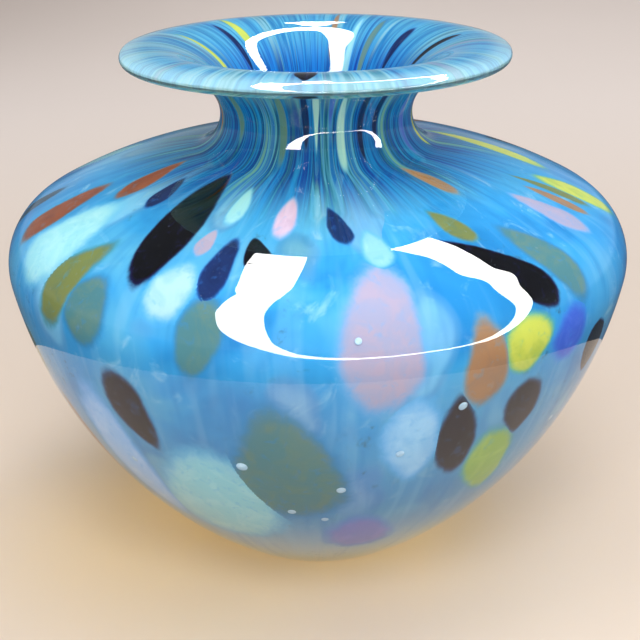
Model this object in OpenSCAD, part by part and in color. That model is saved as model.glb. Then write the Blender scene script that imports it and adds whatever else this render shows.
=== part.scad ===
// Free-blown vase: a wide belly on a small ground foot, a narrow neck and a flared mouth.
// The wall is cased glass. A clear gather is the inside, a blue layer with coloured glass chips
// melted flush into it comes next, and a clear casing is the outside and wraps round the lip.
// Heights are above the table. Azimuths are degrees from the front (-Y) towards +X.
// "Up" is the distance in mm along the outside of the wall, from the foot's edge to the lip.

/* [Body] */
// Width across the belly
body_d = 200; // [190:1:220]
// Width of the neck at its narrowest
neck_d = 61; // [54:1:68]
// Width of the flare where the lip begins
flare_d = 116; // [110:1:120]
// Radius of the lowest stretch of the wall, above the foot
lower_wall_r = 165; // [155:1:175]
// Radius of the wall under the belly
upper_wall_r = 145; // [135:1:155]
// Radius of the belly's turn into the shoulder
belly_r = 20; // [16:1:24]
// Radius of the bend from the shoulder into the neck
neck_bend_r = 11; // [9:0.5:13]
// Radius that rounds the foot's edge
foot_edge_r = 4; // [2:0.5:5]
// Width of the ground hollow where the pontil rod was broken off
pontil_d = 32; // [24:1:40]
// Depth of that hollow
pontil_depth = 1.2; // [0.6:0.1:1.5]

/* [Glass layers] */
// Thickness of the clear outer casing
casing_t = 1.6; // [1.2:0.1:2]
// Thickness of the blue layer and of the chips in it
colour_t = 1.2; // [1:0.1:1.5]
// Thickness of the clear inner gather
gather_t = 1.8; // [1.5:0.1:2.6]

/* [Hidden] */
wall_t = casing_t + colour_t + gather_t;

// Slope of the wall in degrees where each arc of the outline ends, starting at the foot's edge:
// 0 is level and outwards, 90 is straight up, 180 is level and inwards.
SLOPES = [36, 55, 80, 152, 172, 60, -15];
function dir(a) = [sin(a), -cos(a)];
belly_top_r = body_d / 2 - belly_r * (1 - sin(SLOPES[3]));
neck_foot_r = neck_d / 2 + neck_bend_r * (1 - sin(SLOPES[4]));
neck_top_r = neck_d / 2 + neck_bend_r * (1 - sin(SLOPES[5]));
shoulder_r = (belly_top_r - neck_foot_r) / (sin(SLOPES[3]) - sin(SLOPES[4]));
flare_r = (flare_d / 2 - neck_top_r) / (sin(SLOPES[5]) - sin(SLOPES[6]));
RADII = [lower_wall_r, upper_wall_r, belly_r, shoulder_r, neck_bend_r, flare_r];
LAST = len(RADII) - 1;
foot_r = body_d / 2 - belly_r * (1 - sin(SLOPES[2]))
    - upper_wall_r * (sin(SLOPES[2]) - sin(SLOPES[1]))
    - lower_wall_r * (sin(SLOPES[1]) - sin(SLOPES[0]));

// The outline as arcs: which way each bends, how long it is and where it starts
function bend(i) = SLOPES[i + 1] > SLOPES[i] ? 1 : -1;
function arc_length(i) = RADII[i] * abs(SLOPES[i + 1] - SLOPES[i]) * PI / 180;
function arc_start(i) = i == 0 ? [foot_r, foot_edge_r * (1 - cos(SLOPES[0]))]
    : arc_start(i - 1) + bend(i - 1) * RADII[i - 1] * (dir(SLOPES[i]) - dir(SLOPES[i - 1]));
function up_to(i) = i == 0 ? 0 : up_to(i - 1) + arc_length(i - 1);
function arc_of(up, i = 0) = i == LAST || up < up_to(i + 1) ? i : arc_of(up, i + 1);
function slope(up) =
    let (i = arc_of(up)) SLOPES[i] + bend(i) * (up - up_to(i)) / RADII[i] * 180 / PI;
function wall(up, depth = 0) =
    let (i = arc_of(up), a = slope(up))
    arc_start(i) + bend(i) * RADII[i] * (dir(a) - dir(SLOPES[i])) - depth * dir(a);
lip_up = up_to(LAST + 1);

// Places along the wall where the outline has a point, closer together on tight bends
step_mm = 8;
step_deg = 8;
function steps(i) = ceil(max(arc_length(i) / step_mm, abs(SLOPES[i + 1] - SLOPES[i]) / step_deg));
STATIONS = [for (i = [0 : LAST]) for (k = [0 : steps(i) - 1]) up_to(i) + k / steps(i) * arc_length(i)];
function wall_line(low, high, depth) =
    [for (up = concat([low], [for (s = STATIONS) if (s > low && s < high) s], [high])) wall(up, depth)];

// Under the belly each layer leaves the wall's own curve and closes in a dome, so the glass
// is thickest over the foot. These are the slopes where the domes begin.
colour_dome_slope = 62;
inside_dome_slope = 68;
function up_at(a) = up_to(1) + upper_wall_r * (a - SLOPES[1]) * PI / 180;
function dome_line(a_top, depth) =
    let (edge = wall(up_at(a_top), depth), r = edge[0] / sin(a_top), n = ceil(a_top / step_deg))
    [for (k = [0 : n]) let (a = a_top * k / n) [r * sin(a), edge[1] + r * (cos(a_top) - cos(a))]];
function skin(a_dome, depth, high) =
    concat(dome_line(a_dome, depth), wall_line(up_at(a_dome), high, depth));

colour_outside = skin(colour_dome_slope, casing_t, lip_up);
colour_inside = skin(colour_dome_slope, casing_t + colour_t, lip_up);
gather_inside = skin(inside_dome_slope, wall_t, lip_up);

foot_line = [for (a = [0 : 9 : SLOPES[0] - 1])
    [foot_r - foot_edge_r * (sin(SLOPES[0]) - sin(a)), foot_edge_r * (1 - cos(a))]];
pontil_ball_r = (pow(pontil_d / 2, 2) + pow(pontil_depth, 2)) / (2 * pontil_depth);
pontil_line = [for (k = [0 : 4]) let (x = pontil_d / 2 * k / 4)
    [x, pontil_depth - pontil_ball_r + sqrt(pow(pontil_ball_r, 2) - x * x)]];
lip_slope = SLOPES[LAST + 1];
lip_line = [for (a = [0 : 12 : 180])
    wall(lip_up, wall_t / 2) + wall_t / 2 * dir(lip_slope + a)];

function backwards(line) = [for (i = [len(line) - 1 : -1 : 0]) line[i]];

// Coloured chips on the front half: [azimuth, up, length, width, lean towards +X in degrees].
// Every chip here is a node of its own.
FRONT_CHIPS = [
    ["black", [[-34, 166, 56, 13, -6], [35, 144, 36, 10, -42], [57, 106, 19, 11, 0],
               [-12, 156, 14, 7, -20]]],
    ["rust", [[-63, 178, 28, 6, -14], [-71, 151, 32, 9, -4], [-57, 66, 46, 6, -10]]],
    ["mint", [[-58, 147, 34, 20, 8], [-22, 177, 20, 5, -5], [-22, 62, 36, 22, 4]]],
    ["olive", [[-48, 136, 30, 11, 24], [73.5, 158, 28, 4, -12], [32, 163, 18, 7, -22],
               [-65, 101, 18, 8, -20]]],
    ["moss", [[-41, 128, 21, 13, 18], [46, 144, 32, 10, -22], [-6, 82, 54, 25, -8],
              [-19, 127, 16, 8, 12]]],
    ["navy", [[-49, 176, 19, 6, -14], [-18.5, 150, 24, 7, 4], [5, 169, 18, 6, -12]]],
    ["slate", [[-85, 143, 20, 7, -4]]],
    ["lavender", [[-25.5, 141, 18, 12, 14], [-42, 72, 46, 12, -8]]],
    ["lilac", [[10, 125, 38, 23, 4], [61, 154, 27, 9, -14], [-24, 159, 12, 5, 2]]],
    ["pink", [[-8, 173, 20, 6, 4]]],
    ["pale", [[12, 158, 16, 6.5, -6], [16, 92, 34, 13, -3]]],
    ["orange", [[27.5, 115, 27, 12, -8], [69, 155, 22, 4.5, -12], [42.5, 186, 22, 5.5, -8]]],
    ["yellow", [[98, 178, 42, 7, 32], [80, 151, 28, 8, -10], [35.5, 118, 17, 12, -4]]],
    ["brown", [[24.5, 91, 34, 10, -8], [38, 96, 22, 11, -4], [-34, 98, 29, 12, -20]]],
    ["lime", [[35, 74, 34, 12, -18]]],
    ["violet", [[10, 42, 30, 16, -6]]],
    ["cobalt", [[46, 117, 17, 14, 10]]],
];

// Chips on the back half, one node for each colour
BACK_CHIPS = [
    ["black", [[118, 150, 40, 11, -10], [165, 165, 44, 12, -8], [205, 140, 34, 13, 6],
               [240, 118, 26, 12, -6], [180, 84, 36, 13, -4]]],
    ["rust", [[140, 172, 34, 6, -12], [228, 160, 32, 7, -10], [150, 100, 30, 9, 4],
              [212, 80, 34, 8, -6]]],
    ["mint", [[128, 128, 24, 16, -4], [190, 150, 34, 13, -6], [252, 158, 30, 12, -8],
              [235, 76, 36, 18, 4]]],
    ["olive", [[108, 112, 26, 10, -4], [172, 130, 28, 12, 10], [222, 122, 24, 11, 8],
               [130, 66, 38, 16, -6]]],
    ["lilac", [[142, 139, 28, 13, -6], [198, 108, 30, 16, 2], [104, 72, 34, 14, 4],
               [262, 118, 22, 12, 0]]],
    ["yellow", [[152, 140, 30, 8, -6], [213, 176, 26, 6, -8], [160, 62, 30, 14, 0]]],
];

// Chips drawn out over the neck and the flare, one node for each colour:
// [azimuth, up where it starts, up where it ends, width in degrees]
STREAKS = [
    ["navy", [[-6, 204, 232, 5], [26, 200, 234, 5], [36, 204, 232, 5], [-135, 216, 240, 5],
              [132, 214, 236, 6]]],
    ["moss", [[-49, 204, 236, 7], [-19, 198, 234, 6], [150, 206, 240, 5]]],
    ["mint", [[0, 204, 230, 4], [14, 196, 228, 6], [160, 206, 240, 5]]],
    ["cobalt", [[8, 210, 240, 4], [60, 196, 222, 8]]],
    ["black", [[-3, 236, 245, 9], [104, 216, 238, 6]]],
    ["yellow", [[80, 198, 214, 6], [-111, 206, 240, 5], [-143, 222, 244, 6]]],
    ["orange", [[171, 218, 244, 4], [-75, 204, 236, 5]]],
];

PALETTE = [
    ["black", "#15131a"], ["rust", "#8a4a30"], ["mint", "#a9dcdc"], ["olive", "#7f8a4e"],
    ["moss", "#6f8f7c"], ["navy", "#24365f"], ["slate", "#3f5a68"], ["lavender", "#9cc0e4"],
    ["lilac", "#bfb2d2"], ["pink", "#c7a9c0"], ["pale", "#8fb8dc"], ["orange", "#b9835c"],
    ["yellow", "#dde36a"], ["brown", "#4f4b55"], ["lime", "#a3bf5e"], ["violet", "#8288c4"],
    ["cobalt", "#3f5fc4"],
];
function hex_of(name) = [for (p = PALETTE) if (p[0] == name) p[1]][0];
function chip_node(name, i) = str(name, "_chip_", i + 1);
function back_node(name) = str(name, "_chips_back");
function streak_node(name) = str(name, "_streaks");

round_facets = 180;
chip_facets = 360;
chip_stand_out = 4;
streak_margin = 0.5;

// A leaf-shaped prism square to the wall, long enough to pass through the blue layer
module chip_cutter(place) {
    half_l = place[2] / 2;
    half_w = place[3] / 2;
    edge_r = (half_l * half_l + half_w * half_w) / (2 * half_w);
    reach = half_l + wall_t;
    spot = wall(place[1]);
    rotate([0, 0, place[0]])
        translate([0, -spot[0], spot[1]])
            rotate([180 - slope(place[1]), 0, 0])
                rotate([0, 0, -place[4]])
                    translate([0, 0, -reach])
                        linear_extrude(height = reach + chip_stand_out)
                            intersection_for(side = [-1, 1])
                                translate([side * (edge_r - half_w), 0])
                                    circle(r = edge_r, $fn = chip_facets);
}

// A ribbon that follows the bend of the neck and the flare, a little thicker than the blue layer
module streak_cutter(place) {
    outside = wall_line(place[1], place[2], casing_t - streak_margin);
    inside = wall_line(place[1], place[2], casing_t + colour_t + streak_margin);
    rotate_extrude(angle = place[3], start = place[0] - 90 - place[3] / 2, $fn = round_facets)
        polygon(concat(outside, backwards(inside)));
}

module colour_band() {
    rotate_extrude($fn = round_facets)
        polygon(concat(colour_outside, backwards(colour_inside)));
}

module chips(name, places) {
    color(hex_of(name))
        for (place = places)
            intersection() {
                colour_band();
                chip_cutter(place);
            }
}

module streaks(name, places) {
    color(hex_of(name))
        for (place = places)
            intersection() {
                colour_band();
                streak_cutter(place);
            }
}

// The clear inside of the vase, thick on the floor
module inner_gather() {
    color("#dcecf2", 0.4)
        rotate_extrude($fn = round_facets)
            polygon(concat(colour_inside, backwards(gather_inside)));
}

// The blue layer, with a pocket for every chip and streak
module colour_layer() {
    color("#3d9fd3")
        difference() {
            colour_band();
            for (c = concat(FRONT_CHIPS, BACK_CHIPS))
                for (place = c[1])
                    chip_cutter(place);
            for (c = STREAKS)
                for (place = c[1])
                    streak_cutter(place);
        }
}

// The clear outside: ground foot, rounded foot edge, wall and lip
module outer_casing() {
    color("#cfe6f0", 0.4)
        rotate_extrude($fn = round_facets)
            polygon(concat(
                pontil_line, foot_line, wall_line(0, lip_up, 0), lip_line,
                backwards(colour_outside)
            ));
}

inner_gather();
colour_layer();
outer_casing();
for (c = FRONT_CHIPS)
    for (i = [0 : len(c[1]) - 1])
        chips(c[0], [c[1][i]]);
for (c = BACK_CHIPS)
    chips(c[0], c[1]);
for (c = STREAKS)
    streaks(c[0], c[1]);
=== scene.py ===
import math
import random
from collections import namedtuple

import bpy
import numpy as np
from mathutils import Matrix, Vector


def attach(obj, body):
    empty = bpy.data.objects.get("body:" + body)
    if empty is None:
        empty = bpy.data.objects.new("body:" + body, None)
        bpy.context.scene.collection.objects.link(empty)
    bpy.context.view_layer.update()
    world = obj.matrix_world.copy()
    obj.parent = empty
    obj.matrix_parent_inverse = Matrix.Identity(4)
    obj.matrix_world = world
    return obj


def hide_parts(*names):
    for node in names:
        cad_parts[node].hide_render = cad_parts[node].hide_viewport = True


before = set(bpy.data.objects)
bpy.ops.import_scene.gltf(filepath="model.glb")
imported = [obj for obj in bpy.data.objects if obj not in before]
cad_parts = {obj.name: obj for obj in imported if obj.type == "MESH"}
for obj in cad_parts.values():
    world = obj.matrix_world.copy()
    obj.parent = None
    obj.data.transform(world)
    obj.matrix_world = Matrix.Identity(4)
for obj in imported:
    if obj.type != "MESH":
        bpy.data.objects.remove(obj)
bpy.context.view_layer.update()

# ---------------------------------------------------------------- outline of the wall
# The same arcs as the CAD model, in metres. Slopes are degrees: 0 is level and outwards,
# 90 straight up, 180 level and inwards. "Up" is the distance along the outside of the wall.
BODY_R = 0.100
NECK_R = 0.0305
FLARE_R = 0.058
LOWER_WALL_R = 0.165
UPPER_WALL_R = 0.145
BELLY_R = 0.020
NECK_BEND_R = 0.011
FOOT_EDGE_R = 0.004
PONTIL_R = 0.016
PONTIL_DEPTH = 0.0012
CASING_T = 0.0016
COLOUR_T = 0.0012
GATHER_T = 0.0018
WALL_T = CASING_T + COLOUR_T + GATHER_T
SLOPES = [36, 55, 80, 152, 172, 60, -15]  # at the foot, then at the end of each arc up to the lip
COLOUR_DOME_SLOPE = 62
INSIDE_DOME_SLOPE = 68


def sin(degrees):
    return math.sin(math.radians(degrees))


def cos(degrees):
    return math.cos(math.radians(degrees))


def outward(slope):
    """The wall's outward direction, as (radius, height), where it has this slope."""
    return np.array([sin(slope), -cos(slope)])


def arc_radii():
    belly_top_r = BODY_R - BELLY_R * (1 - sin(SLOPES[3]))
    neck_foot_r = NECK_R + NECK_BEND_R * (1 - sin(SLOPES[4]))
    neck_top_r = NECK_R + NECK_BEND_R * (1 - sin(SLOPES[5]))
    shoulder_r = (belly_top_r - neck_foot_r) / (sin(SLOPES[3]) - sin(SLOPES[4]))
    flare_r = (FLARE_R - neck_top_r) / (sin(SLOPES[5]) - sin(SLOPES[6]))
    return [LOWER_WALL_R, UPPER_WALL_R, BELLY_R, shoulder_r, NECK_BEND_R, flare_r]


RADII = arc_radii()
FOOT_R = (
    BODY_R - BELLY_R * (1 - sin(SLOPES[2]))
    - UPPER_WALL_R * (sin(SLOPES[2]) - sin(SLOPES[1]))
    - LOWER_WALL_R * (sin(SLOPES[1]) - sin(SLOPES[0]))
)


Arc = namedtuple("Arc", "start first bend radius begin")


def arcs():
    """Each arc of the wall: its start point, first slope, bend, radius, and up where it begins."""
    found = []
    start = np.array([FOOT_R, FOOT_EDGE_R * (1 - cos(SLOPES[0]))])
    up = 0.0
    for radius, first, last in zip(RADII, SLOPES, SLOPES[1:]):
        bend = 1 if last > first else -1
        found.append(Arc(start, first, bend, radius, up))
        start = start + bend * radius * (outward(last) - outward(first))
        up += radius * math.radians(abs(last - first))
    return found, up


ARCS, LIP_UP = arcs()


def arc_at(up):
    return [arc for arc in ARCS if arc.begin <= max(up, 0)][-1]


def slope_at(up):
    arc = arc_at(up)
    return arc.first + arc.bend * math.degrees((up - arc.begin) / arc.radius)


def wall(up, depth=0.0):
    """A point of the wall, as (radius, height), this deep under the outside."""
    arc = arc_at(up)
    slope = slope_at(up)
    along = arc.bend * arc.radius * (outward(slope) - outward(arc.first))
    return arc.start + along - depth * outward(slope)


def up_where(slope):
    """Up on the wall under the belly, where it reaches this slope."""
    return ARCS[1].begin + UPPER_WALL_R * math.radians(slope - SLOPES[1])


DOME_UP = up_where(COLOUR_DOME_SLOPE)
DOME_EDGE = wall(DOME_UP, CASING_T)
DOME_R = DOME_EDGE[0] / sin(COLOUR_DOME_SLOPE)
FLOOR_UP = DOME_UP - DOME_R * math.radians(COLOUR_DOME_SLOPE)


def skin(up, depth=0.0):
    """A point of the colour layer, this deep under its own outside, and its outward direction.
    Under the belly the layer leaves the wall and closes over the foot in a dome."""
    if up >= DOME_UP:
        slope = slope_at(up)
        return wall(up, CASING_T + depth), outward(slope)
    direction = outward(COLOUR_DOME_SLOPE - math.degrees((DOME_UP - up) / DOME_R))
    centre_z = DOME_EDGE[1] + DOME_R * cos(COLOUR_DOME_SLOPE)
    return np.array([0.0, centre_z]) + (DOME_R - depth) * direction, direction


COLOUR_PAST_LIP = 0.0012  # the colours run a little way into the clear lip
COLOUR_END_UP = LIP_UP + COLOUR_PAST_LIP


def spaced(start, end, step):
    """Even values from start to end, about this far apart."""
    return np.linspace(start, end, max(2, int(abs(end - start) / step) + 1))


# ---------------------------------------------------------------- coordinates for the colours
# The layer is coloured while the gather is a small ball, and blowing then stretches the pattern,
# most of all along the neck and flare. "Parison" is where a point sat on that ball.
SHOULDER_UP = ARCS[3].begin
NECK_UP = ARCS[4].begin
STRETCH_FROM = SHOULDER_UP + 0.6 * (NECK_UP - SHOULDER_UP)
NECK_SHARE = 0.16  # how much of its length a stretch of the neck had before it was drawn out


def parison_height(up):
    body = min(up, STRETCH_FROM) / BODY_R
    drawn = max(0.0, up - STRETCH_FROM) / BODY_R
    return body + NECK_SHARE * drawn


def parison(azimuth, up):
    return (math.sin(azimuth), -math.cos(azimuth), parison_height(up))


# ---------------------------------------------------------------- mesh helpers
def new_object(name, verts, faces, material, normals=None, attributes=None):
    """A smooth mesh object. Attributes are point attributes, as {name: (type, values)}."""
    mesh = bpy.data.meshes.new(name)
    mesh.from_pydata([tuple(v) for v in verts], [], faces)
    mesh.polygons.foreach_set("use_smooth", [True] * len(mesh.polygons))
    for key, (kind, values) in (attributes or {}).items():
        layer = mesh.attributes.new(key, kind, "POINT")
        slot = "vector" if kind == "FLOAT_VECTOR" else "value"
        layer.data.foreach_set(slot, np.array(values, np.float32).ravel())
    mesh.update()
    if normals is not None:
        mesh.normals_split_custom_set_from_vertices([tuple(n) for n in normals])
    mesh.materials.append(material)
    obj = bpy.data.objects.new(name, mesh)
    bpy.context.scene.collection.objects.link(obj)
    return obj


ON_AXIS = 1e-7


def revolve(line, segments):
    """An outline of (radius, height) points turned round the axis, as vertices and faces."""
    verts = []
    rings = []
    for r, z in line:
        if r < ON_AXIS:
            rings.append([len(verts)] * segments)
            verts.append((0.0, 0.0, z))
            continue
        rings.append(list(range(len(verts), len(verts) + segments)))
        for k in range(segments):
            a = 2 * math.pi * k / segments
            verts.append((r * math.sin(a), -r * math.cos(a), z))
    faces = []
    for low, high in zip(rings, rings[1:]):
        for k in range(segments):
            j = (k + 1) % segments
            corners = list(dict.fromkeys([low[k], low[j], high[j], high[k]]))
            if len(corners) > 2:
                faces.append(corners)
    return verts, faces


# ---------------------------------------------------------------- node helpers
class Nodes:
    """A node tree that is written as nested calls."""

    def __init__(self, tree):
        self.tree = tree

    def add(self, kind, **settings):
        node = self.tree.nodes.new(kind)
        for key, value in settings.items():
            setattr(node, key, value)
        return node

    def put(self, socket, value):
        """Links the socket to a node's output, or sets it to a constant."""
        if isinstance(value, bpy.types.NodeSocket):
            self.tree.links.new(value, socket)
        else:
            socket.default_value = value

    def attribute(self, name, output):
        return self.add("ShaderNodeAttribute", attribute_name=name).outputs[output]

    def math(self, operation, a, b):
        node = self.add("ShaderNodeMath", operation=operation)
        self.put(node.inputs[0], a)
        self.put(node.inputs[1], b)
        return node.outputs[0]

    def vector_scale(self, vector, factors):
        node = self.add("ShaderNodeVectorMath", operation="MULTIPLY")
        self.put(node.inputs[0], vector)
        node.inputs[1].default_value = factors
        return node.outputs[0]

    def noise(self, vector, scale, detail=3.0, rough=0.5, distortion=0.0):
        node = self.add("ShaderNodeTexNoise")
        self.put(node.inputs["Vector"], vector)
        node.inputs["Scale"].default_value = scale
        node.inputs["Detail"].default_value = detail
        node.inputs["Roughness"].default_value = rough
        node.inputs["Distortion"].default_value = distortion
        return node.outputs["Fac"]

    def noise_colour(self, vector, scale):
        """Three unrelated noises at once, round 0."""
        node = self.add("ShaderNodeTexNoise")
        self.put(node.inputs["Vector"], vector)
        node.inputs["Scale"].default_value = scale
        centred = self.add("ShaderNodeVectorMath", operation="SUBTRACT")
        self.put(centred.inputs[0], node.outputs["Color"])
        centred.inputs[1].default_value = (0.5, 0.5, 0.5)
        return centred.outputs[0]

    def distance(self, vector, point):
        node = self.add("ShaderNodeVectorMath", operation="DISTANCE")
        self.put(node.inputs[0], vector)
        node.inputs[1].default_value = point
        return node.outputs["Value"]

    def ramp(self, factor, stops):
        """A colour for each factor, from stops of (factor, colour)."""
        node = self.add("ShaderNodeValToRGB")
        band = node.color_ramp
        while len(band.elements) < len(stops):
            band.elements.new(0.5)
        for element, (place, tint) in zip(band.elements, stops):
            element.position = place
            element.color = (*tint, 1.0)
        self.put(node.inputs["Fac"], factor)
        return node.outputs["Color"]

    def between(self, value, low, high):
        """0 below low, 1 above high, and a smooth step from one to the other."""
        node = self.add("ShaderNodeMapRange", interpolation_type="SMOOTHSTEP")
        self.put(node.inputs["Value"], value)
        self.put(node.inputs["From Min"], low)
        self.put(node.inputs["From Max"], high)
        return node.outputs["Result"]

    def mix(self, factor, a, b):
        """Colour a where the factor is 0 and colour b where it is 1."""
        node = self.add("ShaderNodeMix", data_type="RGBA")
        self.put(node.inputs[0], factor)
        self.put(node.inputs[6], a if isinstance(a, bpy.types.NodeSocket) else (*a, 1.0))
        self.put(node.inputs[7], b if isinstance(b, bpy.types.NodeSocket) else (*b, 1.0))
        return node.outputs[2]

    def inverse(self, value):
        return self.math("SUBTRACT", 1.0, value)

    def object_place(self):
        return self.add("ShaderNodeTexCoord").outputs["Object"]

    def bump(self, height, strength, distance):
        node = self.add("ShaderNodeBump")
        node.inputs["Strength"].default_value = strength
        node.inputs["Distance"].default_value = distance
        self.put(node.inputs["Height"], height)
        return node.outputs["Normal"]

    def surface(self, shader):
        out = self.add("ShaderNodeOutputMaterial")
        self.put(out.inputs["Surface"], shader.outputs[0])

    def surface_with_light_through(self, shader, tint):
        """The shader for every ray but shadow rays, which pass and take this tint."""
        through = self.add("ShaderNodeBsdfTransparent")
        through.inputs["Color"].default_value = (*tint, 1.0)
        blend = self.add("ShaderNodeMixShader")
        self.put(blend.inputs[0], self.add("ShaderNodeLightPath").outputs["Is Shadow Ray"])
        self.put(blend.inputs[1], shader.outputs[0])
        self.put(blend.inputs[2], through.outputs[0])
        self.surface(blend)


def colour(code):
    """A hex colour as linear red, green and blue."""
    parts = [int(code[i:i + 2], 16) / 255 for i in (1, 3, 5)]
    return tuple(c / 12.92 if c <= 0.04045 else ((c + 0.055) / 1.055) ** 2.4 for c in parts)


def new_material(name):
    """An empty material and the Nodes of its tree."""
    material = bpy.data.materials.new(name)
    material.use_nodes = True
    material.node_tree.nodes.clear()
    return material, Nodes(material.node_tree)


# ---------------------------------------------------------------- the blue ground colour
AZURE_DEEP = colour("#1c78b8")
AZURE = colour("#3496cf")
AZURE_LIGHT = colour("#58a8ce")
MILKY = colour("#98c6dc")
NECK_BLUE = colour("#063090")
NECK_GREEN = colour("#1c6888")
TEAL_DUST = colour("#38606e")
# The next two colours are painted light: the lower body's paler, greyer blue is painted haze of the floor's
# reflection, and the pale foot is painted light seen through its thick clear glass.
LOWER_BLUE_PAINTED_HAZE = colour("#5590b8")
FOOT_PAINTED_LIGHT = colour("#d6dcd8")
LIP_PALE = colour("#b4d0d4")


def faded_chips(n, place, up, base):
    """Thin chips that the blowing has spread until only a tint with a blue outline is left."""
    bent = n.add("ShaderNodeVectorMath", operation="ADD")
    n.put(bent.inputs[0], place)
    n.put(bent.inputs[1], n.vector_scale(n.noise_colour(place, 2.5), (0.22, 0.22, 0.22)))
    cells = n.add("ShaderNodeTexVoronoi", feature="F1")
    n.put(cells.inputs["Vector"], n.vector_scale(bent.outputs[0], (1.0, 1.0, 0.62)))
    cells.inputs["Scale"].default_value = 3.6
    split = n.add("ShaderNodeSeparateColor")
    n.put(split.inputs[0], cells.outputs["Color"])
    tint = n.ramp(split.outputs[0], [
        (0.10, colour("#9ad0e4")), (0.35, colour("#6f9a86")), (0.50, colour("#9fb4dc")),
        (0.65, colour("#5a9ab0")), (0.80, colour("#b4c4d8")), (0.95, colour("#7f9a78")),
    ])
    distance = cells.outputs["Distance"]
    there = n.math("MULTIPLY", n.between(split.outputs[1], 0.35, 0.40), n.between(up, 0.18, 0.32))
    inside = n.math("MULTIPLY", n.inverse(n.between(distance, 0.30, 0.42)), there)
    outline = n.math("MULTIPLY", n.between(distance, 0.26, 0.38), inside)
    base = n.mix(n.math("MULTIPLY", inside, 0.42), base, tint)
    return n.mix(n.math("MULTIPLY", outline, 0.8), base, AZURE_DEEP)


def body_ground(n, place, up):
    """Azure clouds, milky wisps, faded chips, long lines and dark dust, with painted haze of the floor's
    reflection low down and painted pale light at the foot.
    """
    clouds = n.noise(place, 2.4, detail=3, rough=0.55, distortion=0.7)
    base = n.ramp(clouds, [(0.30, AZURE_DEEP), (0.50, AZURE), (0.72, AZURE_LIGHT)])
    wisps = n.noise(place, 6.5, detail=6, rough=0.6, distortion=1.6)
    base = n.mix(n.math("MULTIPLY", n.between(wisps, 0.56, 0.74), 0.55), base, MILKY)
    # painted reflection: the lower body turns paler and greyer, as painted haze of the pale floor's
    # reflection
    low = n.inverse(n.between(up, 0.25, 0.55))
    base = n.mix(n.math("MULTIPLY", low, 0.65), base, LOWER_BLUE_PAINTED_HAZE)
    # painted light: the foot turns pale, as painted light seen through the thick clear glass of the foot
    foot = n.inverse(n.between(up, 0.0, 0.26))
    base = n.mix(n.math("MULTIPLY", foot, 0.8), base, FOOT_PAINTED_LIGHT)
    base = faded_chips(n, place, up, base)
    long_way = n.vector_scale(place, (1.0, 1.0, 0.12))
    lines = n.noise(long_way, 16, detail=2, distortion=0.4)
    base = n.mix(n.math("MULTIPLY", n.between(lines, 0.52, 0.70), 0.30), base, AZURE_DEEP)
    base = n.mix(n.math("MULTIPLY", n.between(lines, 0.48, 0.32), 0.14), base, MILKY)
    dust = n.noise(place, 26, detail=8, rough=0.75)
    patches = n.between(n.noise(place, 3.3, detail=2), 0.50, 0.66)
    speckle = n.math("MULTIPLY", n.between(dust, 0.56, 0.68), patches)
    return n.mix(n.math("MULTIPLY", speckle, 0.7), base, TEAL_DUST)


def drawn_threads(n, place):
    """A value that changes quickly round the vase and slowly along it."""
    around = n.vector_scale(place, (6.4, 6.4, 2.0))
    fine = n.noise(around, 1.5, detail=3, rough=0.6, distortion=0.5)
    broad = n.noise(n.vector_scale(place, (4.0, 4.0, 1.6)), 1.3, detail=1)
    return n.math("ADD", n.math("MULTIPLY", fine, 0.72), n.math("MULTIPLY", broad, 0.28))


def make_ground_group():
    """The blue layer's own colour: the body's, then at the neck deep blue and green threads,
    and paler threads on the flare and the lip."""
    group = bpy.data.node_groups.new("blue_ground", "ShaderNodeTree")
    group.interface.new_socket("Color", in_out="OUTPUT", socket_type="NodeSocketColor")
    n = Nodes(group)
    place = n.attribute("parison", "Vector")
    up = n.attribute("up", "Fac")
    base = body_ground(n, place, up)
    threads = drawn_threads(n, place)
    neck_threads = n.ramp(threads, [
        (0.30, colour("#042078")), (0.39, colour("#0640a8")), (0.44, colour("#0e78cc")),
        (0.48, NECK_BLUE), (0.52, colour("#1884d0")), (0.55, colour("#04288c")),
        (0.585, NECK_GREEN), (0.61, colour("#4f9ecb")), (0.64, colour("#0c60bc")),
        (0.70, colour("#5f9c98")),
    ])
    base = n.mix(n.math("MULTIPLY", n.between(up, 0.66, 0.80), 0.95), base, neck_threads)
    lip_threads = n.ramp(threads, [
        (0.32, colour("#1c5c98")), (0.40, colour("#3f94c2")), (0.46, colour("#5caecc")),
        (0.50, colour("#2474a8")), (0.54, colour("#5cb0cc")), (0.58, colour("#8cbccc")),
        (0.62, colour("#2f8090")), (0.68, colour("#7f8fb0")),
    ])
    base = n.mix(n.math("MULTIPLY", n.between(up, 0.87, 0.94), 0.85), base, lip_threads)
    base = n.mix(n.math("MULTIPLY", n.between(up, 0.975, 1.0), 0.45), base, LIP_PALE)
    out = n.add("NodeGroupOutput")
    n.put(out.inputs[0], base)
    return group


GROUND = make_ground_group()


def ground_colour(n):
    node = n.add("ShaderNodeGroup")
    node.node_tree = GROUND
    return node.outputs[0]


GLASS_IOR = 1.5
LIGHT_THROUGH = colour("#f4e6b8")
CLEAR_THROUGH = (0.95, 0.98, 0.98)


def finish_colour_layer(n, base):
    """Glass of the colour layer: opaque and slightly milky, but light gets through it, tinted."""
    place = n.attribute("parison", "Vector")
    shader = n.add("ShaderNodeBsdfPrincipled")
    n.put(shader.inputs["Base Color"], base)
    grain = n.noise(place, 40, detail=4)
    n.put(shader.inputs["Roughness"], n.math("ADD", n.math("MULTIPLY", grain, 0.3), 0.35))
    shader.inputs["IOR"].default_value = GLASS_IOR
    shader.inputs["Specular IOR Level"].default_value = 0.02
    n.put(shader.inputs["Normal"], n.bump(n.noise(place, 14, detail=3), 0.08, 0.0004))
    n.surface_with_light_through(shader, LIGHT_THROUGH)


def blue_glass():
    material, n = new_material("blue_glass")
    finish_colour_layer(n, ground_colour(n))
    return material


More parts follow.
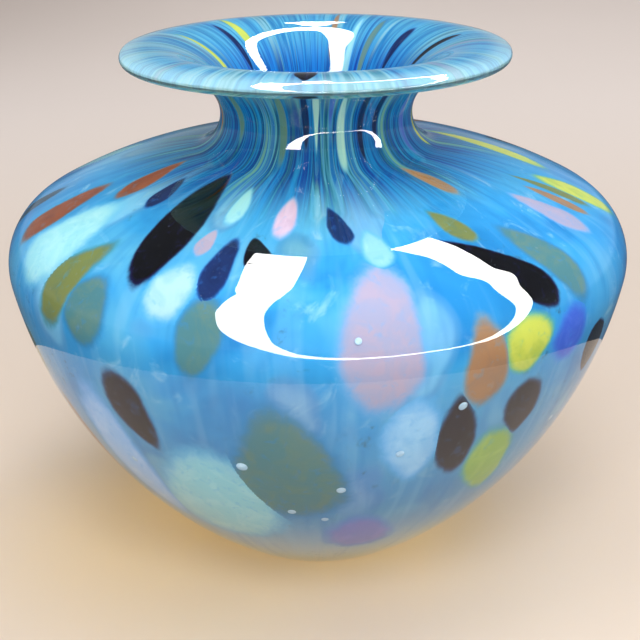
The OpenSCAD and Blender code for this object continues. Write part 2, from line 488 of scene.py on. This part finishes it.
# ---------------------------------------------------------------- chip colours
# Body colour, second colour inside the chip, colour it bleeds at its rim, softness of the rim
# from 0 crisp to 1 smoky, and how much of the second colour there is
ChipColour = namedtuple("ChipColour", "body second rim softness amount")
CHIP_COLOURS = {
    "black": ChipColour("#040407", "#0a0c16", "#1c1c50", 0.14, 0.3),
    "rust": ChipColour("#8a4e30", "#5e3430", "#5f7280", 0.35, 0.5),
    "mint": ChipColour("#92ccd8", "#b0dade", "#62b0d8", 0.60, 0.5),
    "olive": ChipColour("#747c46", "#5c7258", "#3a8aa0", 0.50, 0.6),
    "moss": ChipColour("#4c7c84", "#688272", "#2c80b8", 0.50, 0.6),
    "navy": ChipColour("#152a5c", "#0f1838", "#2460a8", 0.30, 0.4),
    "slate": ChipColour("#2c4858", "#1e2e3e", "#2d7098", 0.40, 0.4),
    "lavender": ChipColour("#94c0ea", "#bcd8f2", "#5aa8e2", 0.70, 0.4),
    "lilac": ChipColour("#9a9cb8", "#b09cac", "#64a0d2", 0.45, 0.6),
    "pink": ChipColour("#c2a8c4", "#d4c0d4", "#7ba4d6", 0.60, 0.5),
    "pale": ChipColour("#86bce2", "#b4daee", "#5aa8de", 0.70, 0.4),
    "orange": ChipColour("#a07a5a", "#8a7262", "#6a8c9c", 0.45, 0.6),
    "yellow": ChipColour("#c2c858", "#98b04c", "#62ae80", 0.50, 0.6),
    "brown": ChipColour("#262029", "#1a1722", "#2c5078", 0.36, 0.5),
    "lime": ChipColour("#94b45a", "#b2c868", "#50a0a0", 0.50, 0.5),
    "violet": ChipColour("#767ec4", "#8f8ad2", "#4f88cc", 0.85, 0.4),
    "cobalt": ChipColour("#3e62c8", "#5c7cd8", "#3a86d4", 0.80, 0.4),
}
CHIP_DUST = colour("#8a96a6")


def chip_glass(name):
    """A chip's colour inside its rim, and the blue ground past it. The edge attribute is 1 on
    the rim, and the along attribute runs from -1 to 1."""
    material, n = new_material(name + "_glass")
    body, second, rim, softness, amount = CHIP_COLOURS[name]
    place = n.attribute("parison", "Vector")
    edge = n.attribute("edge", "Fac")
    ragged = n.noise(place, 16, detail=6, rough=0.65, distortion=0.8)
    waver = n.math("MULTIPLY", n.math("SUBTRACT", ragged, 0.5), 0.10 + 0.35 * softness)
    edge = n.math("ADD", edge, waver)
    swirl = n.noise(place, 9, detail=4, rough=0.55, distortion=1.2)
    swirled = n.math("MULTIPLY", n.between(swirl, 0.42, 0.66), amount)
    inner = n.mix(swirled, colour(body), colour(second))
    specks = n.noise(place, 34, detail=3, distortion=0.6)
    inner = n.mix(n.math("MULTIPLY", n.between(specks, 0.56, 0.72), 0.35), inner, colour(rim))
    tail = n.between(n.math("MULTIPLY", n.attribute("along", "Fac"), -1.0), 0.2, 1.0)
    thinned = n.math("MULTIPLY", tail, n.between(edge, 0.4, 1.0))
    edge = n.math("ADD", edge, n.math("MULTIPLY", thinned, 0.08))
    dusty = n.between(n.noise(place, 14, detail=3), 0.50, 0.66)
    dust = n.math("MULTIPLY", n.between(n.noise(place, 110, detail=1), 0.66, 0.74), dusty)
    inner = n.mix(n.math("MULTIPLY", dust, 0.30), inner, CHIP_DUST)
    inner = n.mix(n.between(edge, 0.92 - 0.45 * softness, 1.0), inner, colour(rim))
    fade = n.between(edge, 0.97 - 0.30 * softness, 1.03 + 0.14 * softness)
    finish_colour_layer(n, n.mix(fade, inner, ground_colour(n)))
    return material


# ---------------------------------------------------------------- clear glass
def clear_glass():
    """Clear cased glass with a fire-polished surface, and a ground foot."""
    material, n = new_material("clear_glass")
    shader = n.add("ShaderNodeBsdfPrincipled")
    shader.inputs["Base Color"].default_value = (0.95, 0.985, 0.99, 1.0)
    shader.inputs["IOR"].default_value = GLASS_IOR
    shader.inputs["Transmission Weight"].default_value = 1.0
    where = n.object_place()
    hazy = n.between(n.noise(where, 90, detail=4, rough=0.7), 0.55, 0.80)
    ground = n.math("MULTIPLY", n.attribute("ground_foot", "Fac"), 0.4)
    n.put(shader.inputs["Roughness"], n.math("ADD", n.math("MULTIPLY", hazy, 0.03), ground))
    n.put(shader.inputs["Normal"], n.bump(n.noise(where, 22, detail=2), 0.12, 0.0006))
    n.surface_with_light_through(shader, CLEAR_THROUGH)
    return material


# ---------------------------------------------------------------- the layers
ROUND = 240  # points round the vase
STEP = 0.0012
DOME_STEP = 0.002


def foot_line():
    """The underside's outline: the pontil hollow, the flat ground ring and its rounded edge."""
    ball = (PONTIL_R ** 2 + PONTIL_DEPTH ** 2) / (2 * PONTIL_DEPTH)
    hollow = [
        (x, PONTIL_DEPTH - ball + math.sqrt(ball ** 2 - x * x)) for x in spaced(0, PONTIL_R, 0.002)
    ]
    edge_starts = FOOT_R - FOOT_EDGE_R * sin(SLOPES[0])
    ring = [(r, 0.0) for r in spaced(PONTIL_R + 0.0003, edge_starts, 0.003)]
    edge = [
        (FOOT_R - FOOT_EDGE_R * (sin(SLOPES[0]) - sin(a)), FOOT_EDGE_R * (1 - cos(a)))
        for a in range(6, SLOPES[0], 6)
    ]
    return hollow + ring + edge


def inside_line():
    """The hollow's outline, from the lip down to a dome that closes it over the foot."""
    dome_up = up_where(INSIDE_DOME_SLOPE)
    edge = wall(dome_up, WALL_T)
    radius = edge[0] / sin(INSIDE_DOME_SLOPE)
    line = [tuple(wall(up, WALL_T)) for up in spaced(LIP_UP, dome_up, STEP)]
    for slope in spaced(INSIDE_DOME_SLOPE - 2, 0, 2):
        line.append((radius * sin(slope), edge[1] + radius * (cos(INSIDE_DOME_SLOPE) - cos(slope))))
    return line


def is_ground(point):
    """Whether a point of the underside was ground flat or lies in the pontil hollow."""
    x, y, z = point
    return z < 0.0005 or (z < 0.002 and math.hypot(x, y) < PONTIL_R)


def make_clear_glass():
    """Casing and gather as one clear body: foot, outside wall, lip and inside wall."""
    foot = foot_line()
    outside = [tuple(wall(up)) for up in spaced(0, LIP_UP, STEP)]
    centre = wall(LIP_UP, WALL_T / 2)
    lip = [tuple(centre + WALL_T / 2 * outward(SLOPES[-1] + a)) for a in range(10, 180, 10)]
    verts, faces = revolve(foot + outside + lip + inside_line(), ROUND)
    foot_count = len(foot) * ROUND
    ground = [1.0 if i < foot_count and is_ground(v) else 0.0 for i, v in enumerate(verts)]
    attributes = {"ground_foot": ("FLOAT", ground)}
    return new_object("clear_body", verts, faces, clear_glass(), attributes=attributes)


def make_blue_layer():
    """The blue layer as a thin closed shell inside the clear body."""
    ups = np.concatenate([
        spaced(FLOOR_UP, DOME_UP, DOME_STEP), spaced(DOME_UP + STEP, COLOUR_END_UP, STEP),
    ])
    outside = [(up, *skin(up)) for up in ups]
    inside = [(up, skin(up, COLOUR_T)[0], -skin(up)[1]) for up in ups[::-1]]
    rings = outside + inside
    line = [tuple(np.maximum(point, 0)) for _, point, _ in rings]
    verts, faces = revolve(line, ROUND)
    normals, places, shares = [], [], []
    for (up, _, direction), (r, _) in zip(rings, line):
        for k in range(1 if r < ON_AXIS else ROUND):
            a = 2 * math.pi * k / ROUND
            normals.append((direction[0] * math.sin(a), -direction[0] * math.cos(a), direction[1]))
            places.append(parison(a, up))
            shares.append(up / LIP_UP)
    attributes = {"parison": ("FLOAT_VECTOR", places), "up": ("FLOAT", shares)}
    return new_object("blue_body", verts, faces, blue_glass(), normals, attributes)


# ---------------------------------------------------------------- chips and streaks
SKIN_UPS = np.linspace(FLOOR_UP + 0.002, LIP_UP, 1500)
SKIN_LINE = np.array([skin(up, COLOUR_T / 2)[0] for up in SKIN_UPS])


def solids_of(node):
    """The node's separate solids, each as (points, triangles)."""
    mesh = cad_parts[node].data
    mesh.calc_loop_triangles()
    corners = np.round(np.array([v.co for v in mesh.vertices]), 6)
    points, welded = np.unique(corners, axis=0, return_inverse=True)
    welded = welded.ravel()
    triangles = np.array([[welded[i] for i in t.vertices] for t in mesh.loop_triangles])
    label = np.arange(len(points))
    before = None
    while not np.array_equal(before, label):
        lowest = label[triangles].min(axis=1)
        before = label.copy()
        for corner in range(3):
            np.minimum.at(label, triangles[:, corner], lowest)
        label = label[label]
    solid = label[triangles[:, 0]]
    return [(points, triangles[solid == value]) for value in np.unique(solid)]


def unwrap(points, middle=None):
    """Azimuth and up of points that lie in the colour layer."""
    radius = np.hypot(points[:, 0], points[:, 1])
    here = np.column_stack([radius, points[:, 2]])
    nearest = ((here[:, None, :] - SKIN_LINE[None, :, :]) ** 2).sum(axis=2).argmin(axis=1)
    azimuth = np.arctan2(points[:, 0], -points[:, 1])
    if middle is None:
        middle = math.atan2(np.sin(azimuth).mean(), np.cos(azimuth).mean())
    azimuth = (azimuth - middle + math.pi) % (2 * math.pi) - math.pi
    return azimuth, SKIN_UPS[nearest], SKIN_LINE[nearest, 0], middle


# A chip unrolled onto the flat: its place, the two directions on the flat, and its half sizes.
# With one_radius, width is an angle times that radius, so that the piece widens with the flare.
Chip = namedtuple("Chip", "middle up centre along side half_length half_width one_radius")


def measure(points, triangles, fan):
    """The Chip that one solid is, with one_radius only for a fan."""
    corners = points[triangles]
    middles = corners.mean(axis=1)
    sides = corners[:, 1] - corners[:, 0], corners[:, 2] - corners[:, 0]
    area = np.linalg.norm(np.cross(*sides), axis=1)
    azimuth, up, radius, middle = unwrap(middles)
    up_middle = float((up * area).sum() / area.sum())
    one_radius = float(skin(up_middle)[0][0])
    across = azimuth * (one_radius if fan else radius)
    flat = np.column_stack([across, up - up_middle])
    centre = (flat * area[:, None]).sum(axis=0) / area.sum()
    spread = (flat - centre).T @ ((flat - centre) * area[:, None])
    vectors = np.linalg.eigh(spread)[1]
    along = vectors[:, 1] * (1 if vectors[1, 1] >= 0 else -1)
    side = np.array([along[1], -along[0]])
    azimuth, up, radius, _ = unwrap(points[np.unique(triangles)], middle)
    across = azimuth * (one_radius if fan else radius)
    flat = np.column_stack([across, up - up_middle])
    length, width = flat @ along, flat @ side
    centre = along * (length.max() + length.min()) / 2 + side * (width.max() + width.min()) / 2
    half_length = (length.max() - length.min()) / 2
    half_width = (width.max() - width.min()) / 2
    radius = one_radius if fan else None
    return Chip(middle, up_middle, centre, along, side, half_length, half_width, radius)


RING_STEP = 0.0015
FEWEST_RINGS = 8
PATCH_REACH = 1.34  # a patch goes this far past its chip's rim, where it shows the blue ground
HEM_REACH = 1.03 * PATCH_REACH
RIM_LIFT = 0.00001  # how far a patch's rim stands off the blue layer
PROUD = 0.00018  # how much higher than at the rim a patch stands in the middle


def chip_outline(angle, phases, pointed, taper):
    """A point of the chip's rim for a half length and half width of 1."""
    wobble = 1 + 0.06 * math.sin(2 * angle + phases[0]) + 0.055 * math.sin(3 * angle + phases[1])
    wobble += 0.025 * math.sin(5 * angle + phases[2])
    x = math.cos(angle) * abs(math.cos(angle)) ** pointed
    y = math.sin(angle)
    x *= 1 - taper * y
    return x * wobble, y * (1 + 0.3 * (wobble - 1))


PatchPoint = namedtuple("PatchPoint", "co normal parison up edge along")


def patch_point(chip, rim_point, ring, depth, turn):
    """A point of a patch, this share of the way out to a rim point. Turn is the way it faces:
    1 out of the vase, -1 into it."""
    x = rim_point[0] * ring * chip.half_width
    y = rim_point[1] * ring * chip.half_length
    flat = chip.centre + chip.along * y + chip.side * x
    up = min(max(chip.up + flat[1], FLOOR_UP + 0.004), COLOUR_END_UP - 0.0001)
    azimuth = chip.middle + flat[0] / (chip.one_radius or skin(up)[0][0])
    (r, z), direction = skin(up, depth)
    co = (r * math.sin(azimuth), -r * math.cos(azimuth), z)
    level = turn * direction[0]
    normal = (level * math.sin(azimuth), -level * math.cos(azimuth), turn * direction[1])
    return PatchPoint(co, normal, parison(azimuth, up), up / LIP_UP, ring, y / chip.half_length)


def chip_patch(chip, phases, pointed, taper):
    """One chip as a lens that stands a hair proud of both faces of the blue layer, as its
    points and faces."""
    ring_count = max(FEWEST_RINGS, int(PATCH_REACH * chip.half_length / RING_STEP))
    rim_count = 4 * ring_count
    rim = [
        chip_outline(2 * math.pi * k / rim_count, phases, pointed, taper) for k in range(rim_count)
    ]
    points = []

    def add_ring(ring, depth, turn):
        """Adds a ring's points and returns their numbers. The middle is one point."""
        first = len(points)
        if ring == 0.0:
            points.append(patch_point(chip, (0, 0), ring, depth, turn))
            return [first] * rim_count
        points.extend(patch_point(chip, rim_point, ring, depth, turn) for rim_point in rim)
        return list(range(first, len(points)))

    outer, inner = [], []
    rings = [(ring, RIM_LIFT + PROUD * (1 - (ring / PATCH_REACH) ** 2))
             for ring in np.linspace(0, PATCH_REACH, ring_count + 1)]
    for ring, lift in rings:
        outer.append(add_ring(ring, -lift, 1))
    for ring, lift in rings:
        inner.append(add_ring(ring, COLOUR_T + lift, -1))
    hem = add_ring(HEM_REACH, COLOUR_T / 2, 1)
    faces = []
    ladder = outer + [hem] + inner[::-1]
    for low, high in zip(ladder, ladder[1:]):
        for k in range(rim_count):
            j = (k + 1) % rim_count
            corners = list(dict.fromkeys([low[k], high[k], high[j], low[j]]))
            if len(corners) > 2:
                faces.append(corners)
    return points, faces


# Colours whose chips are wider or narrower than the rest, and thin soft chips that spread
WIDER = {"yellow": 1.2, "rust": 1.2, "lime": 1.1, "lilac": 0.88}
SPREAD = {"mint_chip_3": 1.45, "lavender_chip_2": 1.3, "moss_chip_4": 1.4}
SHOULDER_CHIP_UP = 0.130
DRAWN_OUT_FROM = 0.150
DRAWN_OUT_OVER = 0.020


def fit_streak(chip, lean_way):
    """A streak's size on the model, and its taper."""
    return chip._replace(half_width=chip.half_width * 0.8), 0.35 * lean_way


def fit_chip(chip, node, name, lean_way):
    """A chip's size on the model, and its taper. On the shoulder chips narrow towards the neck."""
    softness = CHIP_COLOURS[name].softness
    spread = SPREAD.get(node, 1.0)
    half_width = chip.half_width * ((1.15 + 0.25 * softness) * WIDER.get(name, 1.0)) * spread
    half_length = chip.half_length * (1.0 + 0.12 * softness) * spread
    taper = 0.2 * lean_way
    if chip.up > SHOULDER_CHIP_UP:
        drawn_out = min(max((chip.up - DRAWN_OUT_FROM) / DRAWN_OUT_OVER, 0.0), 1.0)
        taper = 0.25 + 0.2 * drawn_out
        half_width *= 1 - 0.15 * drawn_out
    return chip._replace(half_width=half_width, half_length=half_length), taper


def make_chips(node, name, glass, fan):
    """The visual piece for one CAD node of chips or streaks."""
    rng = random.Random(node)
    points, faces = [], []
    for solid_points, triangles in solids_of(node):
        chip = measure(solid_points, triangles, fan)
        phases = [rng.uniform(0, 2 * math.pi) for _ in range(3)]
        lean_way = rng.choice([-1, 1])
        if fan:
            chip, taper = fit_streak(chip, lean_way)
        else:
            chip, taper = fit_chip(chip, node, name, lean_way)
        pointed = 0.30 * (1 - CHIP_COLOURS[name].softness)
        patch_points, patch_faces = chip_patch(chip, phases, pointed, taper)
        faces += [[i + len(points) for i in face] for face in patch_faces]
        points += patch_points
    attributes = {
        "parison": ("FLOAT_VECTOR", [p.parison for p in points]),
        "up": ("FLOAT", [p.up for p in points]),
        "edge": ("FLOAT", [p.edge for p in points]),
        "along": ("FLOAT", [p.along for p in points]),
    }
    verts = [p.co for p in points]
    normals = [p.normal for p in points]
    obj = new_object(node + "_glass", verts, faces, glass, normals, attributes)
    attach(obj, "root")
    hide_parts(node)


def make_all_chips():
    glasses = {name: chip_glass(name) for name in CHIP_COLOURS}
    for node in sorted(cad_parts):
        name = node.split("_")[0]
        if name in glasses:
            make_chips(node, name, glasses[name], fan=node.endswith("_streaks"))


# ---------------------------------------------------------------- air seeds
# Small flat bubbles caught in the casing: azimuth in degrees, share of the way up, and size,
# where a seed of size 1 is 2.8 mm wide
SEEDS = [
    (-14, 0.34, 1.2), (-6, 0.25, 0.9), (24, 0.42, 1.0), (14, 0.36, 0.9), (4, 0.30, 1.0), (1, 0.23, 0.8),
    (6, 0.52, 0.7), (-40, 0.30, 0.8), (52, 0.33, 0.8), (120, 0.38, 1.0), (170, 0.30, 1.1),
    (215, 0.35, 0.9), (255, 0.28, 1.0), (150, 0.58, 0.8),
]
SEED_RADIUS = 0.0014
SEED_HALF_DEPTH = 0.00045


def seed_glass():
    """The pale glint of a bubble in clear glass."""
    material, n = new_material("seed_glass")
    shader = n.add("ShaderNodeBsdfPrincipled")
    haze = n.noise(n.object_place(), 900, detail=3)
    n.put(shader.inputs["Base Color"], n.mix(haze, colour("#8fb8d4"), colour("#c8e0ee")))
    n.put(shader.inputs["Roughness"], n.math("MULTIPLY", haze, 0.3))
    n.surface(shader)
    return material


def seed_shape(size):
    """A flat bubble whose short way is along Z, as vertices and faces."""
    rows, columns = 8, 16
    line = []
    for i in range(rows + 1):
        turn = math.pi * i / rows
        radius = 0.0 if i in (0, rows) else size * SEED_RADIUS * math.sin(turn)
        line.append((radius, -size * SEED_HALF_DEPTH * math.cos(turn)))
    return revolve(line, columns)


def make_seeds():
    """Each seed lies in the casing with its short way across the wall."""
    glass = seed_glass()
    for number, (degrees, share, size) in enumerate(SEEDS, start=1):
        (r, z), direction = skin(share * LIP_UP, -CASING_T * 0.45)
        slope = math.degrees(math.atan2(direction[0], -direction[1]))
        seed = new_object(f"air_seed_{number}", *seed_shape(size), glass)
        turn = Matrix.Rotation(math.radians(degrees), 4, "Z")
        tilt = Matrix.Rotation(math.radians(180 - slope), 4, "X")
        seed.data.transform(turn @ Matrix.Translation((0, -r, z)) @ tilt)
        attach(seed, "root")


# ---------------------------------------------------------------- studio
FLOOR_FRONT = -6.0
FLOOR_BACK = 1.4
FLOOR_HALF_WIDTH = 4.0
SWEEP_R = 0.8
WALL_TOP = 2.2


def floor_paper():
    """Warm paper, paler far off, with painted light and shade: a painted warm tint round the vase, a
    painted shade far to the left, and a painted ochre glow of light through the glass under the vase.
    """
    material, n = new_material("floor_paper")
    where = n.object_place()

    def round_place(place, full, none):
        return n.inverse(n.between(n.distance(where, place), full, none))

    paper = n.mix(n.noise(where, 1.6, detail=2), colour("#e2d8d2"), colour("#eae0da"))
    # painted light: round the vase the paper turns a little darker and warmer, as painted light through the
    # glass
    paper = n.mix(round_place((0.0, -0.02, 0.0), 0.08, 0.75), paper, colour("#dfd0c2"))
    # painted shade: the paper darker far to the left
    painted_shade_far_left = n.math("MULTIPLY", round_place((-1.1, 1.2, 0.0), 0.3, 1.15), 0.8)
    paper = n.mix(painted_shade_far_left, paper, colour("#b0a49c"))
    # painted light: an ochre glow under the vase, standing in for light cast through the coloured glass
    under = n.math("MULTIPLY", round_place((-0.045, -0.02, 0.0), 0.02, 0.10), 0.35)
    paper = n.mix(under, paper, colour("#ecca88"))
    shader = n.add("ShaderNodeBsdfPrincipled")
    n.put(shader.inputs["Base Color"], paper)
    n.put(shader.inputs["Roughness"], n.math("ADD", n.math("MULTIPLY", n.noise(where, 300), 0.2), 0.7))
    shader.inputs["Specular IOR Level"].default_value = 0.05
    n.surface(shader)
    return material


def make_floor():
    """A pale warm sweep: level floor, then a long curve up into a wall far behind."""
    line = [(FLOOR_FRONT, 0.0), (FLOOR_BACK, 0.0)]
    line += [(FLOOR_BACK + SWEEP_R * sin(a), SWEEP_R * (1 - cos(a))) for a in range(6, 91, 6)]
    line.append((FLOOR_BACK + SWEEP_R, WALL_TOP))
    verts = [(side, y, z) for side in (-FLOOR_HALF_WIDTH, FLOOR_HALF_WIDTH) for y, z in line]
    count = len(line)
    faces = [[k, k + count, k + 1 + count, k + 1] for k in range(count - 1)]
    new_object("floor", verts, faces, floor_paper())


def glow(name, strength):
    material, n = new_material(name)
    light = n.add("ShaderNodeEmission")
    light.inputs["Color"].default_value = (1.0, 0.98, 0.96, 1.0)
    light.inputs["Strength"].default_value = strength
    n.surface(light)
    return material


def only_in_reflections(obj):
    obj.visible_camera = False
    obj.visible_diffuse = False
    obj.visible_transmission = False
    obj.visible_shadow = False
    obj.visible_volume_scatter = False


# The strip light is a closed loop round the vase: azimuth, elevation and half width in degrees
STRIP = [
    (-157, 71, 5), (-115, 78, 5), (-74, 77, 5), (-42, 62, 6), (-33, 46, 7), (-25, 24, 7), (-17, 8, 4),
    (-6, -4, 1.8), (10, -9, 1.2), (31, -10, 1.2), (52, -9, 1.6), (64, 1, 2.5), (74, 17, 3.5),
    (84, 39, 4), (106, 51, 4), (136, 57, 3.5), (153, 60, 3.5), (175, 61, 3.5), (-170, 65, 4), (-157, 71, 5),
]
STRIP_NEAR = 0.62  # how far the level and lower parts of the loop are from the vase
STRIP_FAR = 1.25  # how far its high parts are


def direction_to(azimuth, elevation):
    return Vector((sin(azimuth) * cos(elevation), -cos(azimuth) * cos(elevation), sin(elevation)))


def smooth_path(points, pieces):
    """A smooth curve through the points, with this many steps between two of them."""
    path = []
    for i in range(len(points) - 1):
        before, a = points[max(i - 1, 0)], points[i]
        b, after = points[i + 1], points[min(i + 2, len(points) - 1)]
        for k in range(pieces):
            t = k / pieces
            path.append(0.5 * (
                2 * a + (b - before) * t + (2 * before - 5 * a + 4 * b - after) * t * t
                + (3 * a - before - 3 * b + after) * t ** 3
            ))
    path.append(points[-1])
    return path


def make_strip_light():
    """A soft strip light seen only in the gloss of the glass."""
    centre = Vector((0, 0, 0.11))
    controls = [np.array([*direction_to(a, e), math.radians(w)]) for a, e, w in STRIP]
    path = smooth_path(controls, 8)
    verts = []
    for i, point in enumerate(path):
        ahead = path[min(i + 1, len(path) - 1)]
        behind = path[max(i - 1, 0)]
        aim = Vector(point[:3]).normalized()
        run = Vector(ahead[:3] - behind[:3]).normalized()
        side = aim.cross(run).normalized()
        distance = STRIP_NEAR + (STRIP_FAR - STRIP_NEAR) * min(max(aim.z, 0) / 0.5, 1)
        for sign in (-1, 1):
            verts.append(centre + distance * (aim + sign * math.tan(point[3]) * side))
    faces = [[2 * i, 2 * i + 1, 2 * i + 3, 2 * i + 2] for i in range(len(path) - 1)]
    strip = new_object("strip_light", verts, faces, glow("strip_glow", 26))
    only_in_reflections(strip)


def make_back_panel():
    """A small panel on a stalk behind the loop, seen only in the gloss of the mouth and neck."""
    centre = Vector((0, 0, 0.15))
    distance = 1.2
    verts = []
    for elevation, half_width in ((42, 2.4), (53, 2.4), (53.5, 0.7), (59, 0.7)):
        verts += [centre + distance * direction_to(180 + side * half_width, elevation) for side in (-1, 1)]
    faces = [[0, 1, 3, 2], [2, 3, 5, 4], [4, 5, 7, 6]]
    panel = new_object("back_panel", verts, faces, glow("panel_glow", 20))
    only_in_reflections(panel)


TENT_R = 1.38
CARD_HOLE_R = 0.19  # the floor is seen in the gloss only this near the vase
CARD_Z = 0.002


def tent_grey():
    """Dark at the floor, paler a little above it, and nearly black overhead."""
    material, n = new_material("tent_grey")
    parts = n.add("ShaderNodeSeparateXYZ")
    n.put(parts.inputs[0], n.object_place())
    light = n.add("ShaderNodeEmission")
    n.put(light.inputs["Color"], n.ramp(n.math("DIVIDE", parts.outputs[2], TENT_R), [
        (0.0, (0.10, 0.12, 0.15)), (0.02, (0.10, 0.12, 0.15)), (0.10, (0.34, 0.36, 0.40)),
        (0.45, (0.14, 0.15, 0.18)), (1.0, (0.04, 0.05, 0.07)),
    ]))
    n.surface(light)
    return material


def make_dark_tent():
    """Dark cards on the floor round the vase and a dark tent over it, seen only in the gloss.
    They keep the colours deep and end the pale reflection of the floor at the belly."""
    line = [(CARD_HOLE_R, CARD_Z), (TENT_R, CARD_Z)]
    line += [(TENT_R * cos(a), CARD_Z + TENT_R * sin(a)) for a in range(6, 90, 6)]
    line.append((0.0, TENT_R))
    verts, faces = revolve(line, 64)
    tent = new_object("dark_tent", verts, faces, tent_grey())
    only_in_reflections(tent)


def area_light(name, place, turn, size, power, tint):
    """A round light that shines down its own Z axis and isn't seen in the gloss of the glass."""
    light = bpy.data.lights.new(name, "AREA")
    light.shape = "DISK"
    light.size = size
    light.energy = power
    light.color = tint
    obj = bpy.data.objects.new(name, light)
    bpy.context.scene.collection.objects.link(obj)
    obj.location = place
    obj.rotation_euler = turn
    obj.visible_glossy = False
    return light


LOOK_AT_Z = 0.105


def aimed_light(name, azimuth, elevation, distance, size, power, tint):
    """An area light in this direction from the middle of the vase, turned towards it."""
    aim = direction_to(azimuth, elevation)
    place = Vector((0, 0, LOOK_AT_Z)) + distance * aim
    area_light(name, place, aim.to_track_quat("Z", "Y").to_euler(), size, power, tint)


def make_lights():
    aimed_light("key", 125, 60, 2.0, 1.0, 9, (1.0, 0.98, 0.95))
    aimed_light("front", 5, 52, 2.0, 1.4, 9.2, (1.0, 0.98, 0.95))
    aimed_light("left", -75, 45, 2.0, 1.2, 1.6, (1.0, 0.98, 0.96))
    aimed_light("top", 0, 88, 1.9, 1.2, 8, (1.0, 0.98, 0.95))
    tilt = (math.radians(14), 0.0, 0.0)
    fill = area_light("floor_fill", (0.0, -0.46, 0.55), tilt, 0.25, 0.46, (1.0, 0.96, 0.90))
    fill.spread = math.radians(75)


def make_world():
    """Even pale light from all round."""
    world = bpy.data.worlds.new("studio")
    world.use_nodes = True
    world.node_tree.nodes.clear()
    n = Nodes(world.node_tree)
    back = n.add("ShaderNodeBackground")
    back.inputs["Color"].default_value = (0.98, 0.98, 1.0, 1.0)
    back.inputs["Strength"].default_value = 0.52
    out = n.add("ShaderNodeOutputWorld")
    n.put(out.inputs["Surface"], back.outputs[0])
    bpy.context.scene.world = world


def make_camera():
    """Close in front and above the rim, looking a little down."""
    camera = bpy.data.cameras.new("camera")
    camera.sensor_width = 36
    camera.lens = 68.8
    obj = bpy.data.objects.new("camera", camera)
    bpy.context.scene.collection.objects.link(obj)
    obj.location = (0.0005, -0.385, 0.234)
    pitch = math.radians(90 - 22.7)
    roll = math.radians(-0.62)
    obj.rotation_euler = (Matrix.Rotation(pitch, 3, "X") @ Matrix.Rotation(roll, 3, "Z")).to_euler()
    bpy.context.scene.camera = obj


def make_vase():
    body = make_clear_glass()
    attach(body, "root")
    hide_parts("outer_casing", "inner_gather")
    blue = make_blue_layer()
    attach(blue, "root")
    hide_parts("colour_layer")
    make_all_chips()
    make_seeds()


make_vase()
make_floor()
make_strip_light()
make_back_panel()
make_dark_tent()
make_lights()
make_world()
make_camera()
bpy.context.scene.view_settings.view_transform = "Standard"
